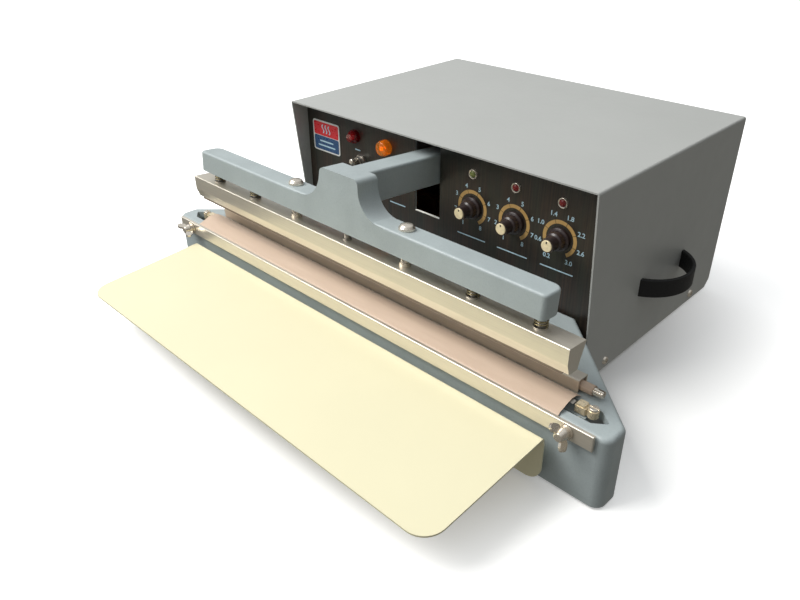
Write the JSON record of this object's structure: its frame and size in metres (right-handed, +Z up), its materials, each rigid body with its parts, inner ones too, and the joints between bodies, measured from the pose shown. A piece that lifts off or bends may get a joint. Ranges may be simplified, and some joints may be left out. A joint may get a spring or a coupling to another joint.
{
  "type": "impulse heat sealer",
  "caption": "Bench impulse heat sealer: powered swing arm with a sprung upper jaw over a fabric-covered heated base, cream work table and timer cabinet.",
  "frame": {"origin": "on the floor, under the middle of the whole machine's width and depth", "axes": "+X along the jaws to the operator's right, +Y to the back of the cabinet, +Z up"},
  "size_m": [0.558, 0.521, 0.1925],
  "materials": {
    "casting_paint": "satin hammered",
    "cabinet_paint": "satin",
    "panel_print": "satin printed",
    "table_paint": "satin",
    "aluminium": "satin",
    "release_fabric": "woven, coated",
    "bright_steel": "polished",
    "dull_steel": "machined",
    "spring_steel": "passivated",
    "brass": "satin",
    "bronze": "machined",
    "black_rubber": "matt",
    "silicone": "matt",
    "insulation": "glass cloth",
    "element_alloy": "rolled",
    "knob_brown": "satin moulded",
    "cap_cream": "gloss",
    "lens_red": "clear",
    "lens_amber": "clear",
    "led_lens": "clear moulded",
    "badge": "gloss printed",
    "switch_case": "moulded",
    "winding": "lacquered",
    "lamination": "varnished",
    "board": "laminate"
  },
  "bodies": {
    "base": {"base_casting": "casting_paint", "front_clamp_strip": "aluminium", "insulation_strip": "insulation", "heating_element": "element_alloy", "ptfe_cover": "release_fabric", "rear_channel": "aluminium", "work_table": "table_paint", "table_screws": "bright_steel", "cabinet_cover": "cabinet_paint", "chassis_floor": "cabinet_paint", "front_panel": "cabinet_paint", "panel_overlay": "panel_print", "rear_panel": "cabinet_paint", "badge_plate": "badge", "handle_right": "black_rubber", "handle_left": "black_rubber", "rubber_feet": "black_rubber", "cover_screws": "bright_steel", "timer_pots": "dull_steel", "led_bezels": "bright_steel", "leds": "led_lens", "red_lamp": "lens_red", "amber_lamp": "lens_amber", "toggle_bodies": "dull_steel", "pivot_frame": "dull_steel", "pivot_shaft": "dull_steel", "solenoid_frame": "dull_steel", "solenoid_coil": "winding", "return_spring": "spring_steel", "transformer_core": "lamination", "transformer_coil": "winding", "timer_board": "board", "power_inlet": "switch_case", "fuse_holder": "switch_case", "pedal_socket": "dull_steel"},
    "arm": {"arm_casting": "casting_paint", "pivot_bushes": "bronze", "drive_pin": "dull_steel", "jaw_springs": "spring_steel"},
    "jaw": {"upper_jaw": "aluminium", "silicone_strip": "silicone", "shoulder_screws": "bright_steel", "jaw_pins": "dull_steel"},
    "plunger": {"solenoid_plunger": "dull_steel"},
    "cycle_dial": {"cycle_knob": "knob_brown", "cycle_knob_cap": "cap_cream"},
    "cooling_dial": {"cooling_knob": "knob_brown", "cooling_knob_cap": "cap_cream"},
    "sealing_dial": {"sealing_knob": "knob_brown", "sealing_knob_cap": "cap_cream"},
    "power_lever": {"power_toggle": "bright_steel"},
    "mode_lever": {"mode_toggle": "bright_steel"},
    "left_wing": {"wing_screw_left": "bright_steel"},
    "right_wing": {"wing_screw_right": "bright_steel"},
    "fabric_roll": {"roll_rod": "bright_steel", "ptfe_roll": "release_fabric"},
    "left_tensioner": {"tension_block_left": "brass", "tension_screw_left": "bright_steel"},
    "right_tensioner": {"tension_block_right": "brass", "tension_screw_right": "bright_steel"}
  },
  "joints": [
    {"name": "arm_pivot", "type": "hinge", "parent": "base", "child": "arm", "pos_m": [-0.0045, 0.179, 0.1454], "axis": [1, 0, 0], "range_deg": [0, 4.55], "stiffness_Nm_per_rad": 20, "springref_deg": -34.38, "deforming": ["return_spring"]},
    {"name": "jaw_float", "type": "slide", "parent": "arm", "child": "jaw", "axis": [0, 0.0793, 0.9968], "range_m": [0, 0.002], "stiffness_N_per_m": 8000, "springref_m": -0.003, "deforming": ["jaw_springs"]},
    {"name": "plunger_slide", "type": "slide", "parent": "base", "child": "plunger", "axis": [0, 0, -1], "range_m": [0, 0.0081]},
    {"name": "cycle_dial_turn", "type": "hinge", "parent": "base", "child": "cycle_dial", "pos_m": [0.05, -0.003, 0.134], "axis": [0, 1, 0], "range_deg": [-150, 150]},
    {"name": "cooling_dial_turn", "type": "hinge", "parent": "base", "child": "cooling_dial", "pos_m": [0.098, -0.003, 0.134], "axis": [0, 1, 0], "range_deg": [-150, 150]},
    {"name": "sealing_dial_turn", "type": "hinge", "parent": "base", "child": "sealing_dial", "pos_m": [0.146, -0.003, 0.134], "axis": [0, 1, 0], "range_deg": [-150, 150]},
    {"name": "power_toggle_throw", "type": "hinge", "parent": "base", "child": "power_lever", "pos_m": [-0.1005, 0.0005, 0.141], "axis": [1, 0, 0], "range_deg": [0, 24]},
    {"name": "mode_toggle_throw", "type": "hinge", "parent": "base", "child": "mode_lever", "pos_m": [-0.062, 0.0005, 0.136], "axis": [1, 0, 0], "range_deg": [0, 24]},
    {"name": "left_wing_turn", "type": "hinge", "parent": "base", "child": "left_wing", "pos_m": [-0.246, -0.131, 0.0615], "axis": [0, -1, 0], "continuous": true},
    {"name": "right_wing_turn", "type": "hinge", "parent": "base", "child": "right_wing", "pos_m": [0.246, -0.131, 0.0615], "axis": [0, -1, 0], "continuous": true},
    {"name": "roll_turn", "type": "hinge", "parent": "base", "child": "fabric_roll", "pos_m": [0, -0.089, 0.0719], "axis": [1, 0, 0], "continuous": true},
    {"name": "left_tension_slide", "type": "slide", "parent": "base", "child": "left_tensioner", "axis": [-1, 0, 0], "range_m": [0, 0.002], "stiffness_N_per_m": 2000},
    {"name": "right_tension_slide", "type": "slide", "parent": "base", "child": "right_tensioner", "axis": [1, 0, 0], "range_m": [0, 0.002], "stiffness_N_per_m": 2000}
  ],
  "couplings": [
    {"joint": "plunger_slide", "follows": "arm_pivot", "m_per_rad": 0.1}
  ]
}
